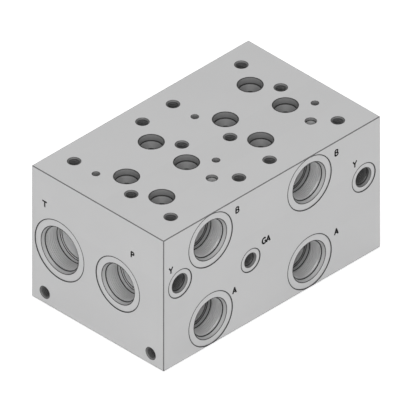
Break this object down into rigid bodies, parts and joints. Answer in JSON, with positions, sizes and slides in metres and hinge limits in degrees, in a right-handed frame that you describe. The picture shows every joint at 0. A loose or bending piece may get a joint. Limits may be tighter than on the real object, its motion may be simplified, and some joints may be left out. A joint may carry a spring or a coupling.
{
  "type": "valve manifold",
  "caption": "Hydraulic valve manifold: a drilled rectangular metal bar with valve pads on top, threaded work ports in front and pressure and tank ports in the ends.",
  "frame": {"origin": "middle of the foot, on the surface that the bar stands on", "axes": "+X along the bar, from the end seen in the picture; -Y out of the face with the work ports; +Z out of the valve face"},
  "size_m": [0.2922, 0.1778, 0.1524],
  "materials": {
    "manifold_metal": "milled, light grey, fine tool marks, bare"
  },
  "bodies": {
    "root": {"manifold_body": "manifold_metal"}
  },
  "joints": []
}
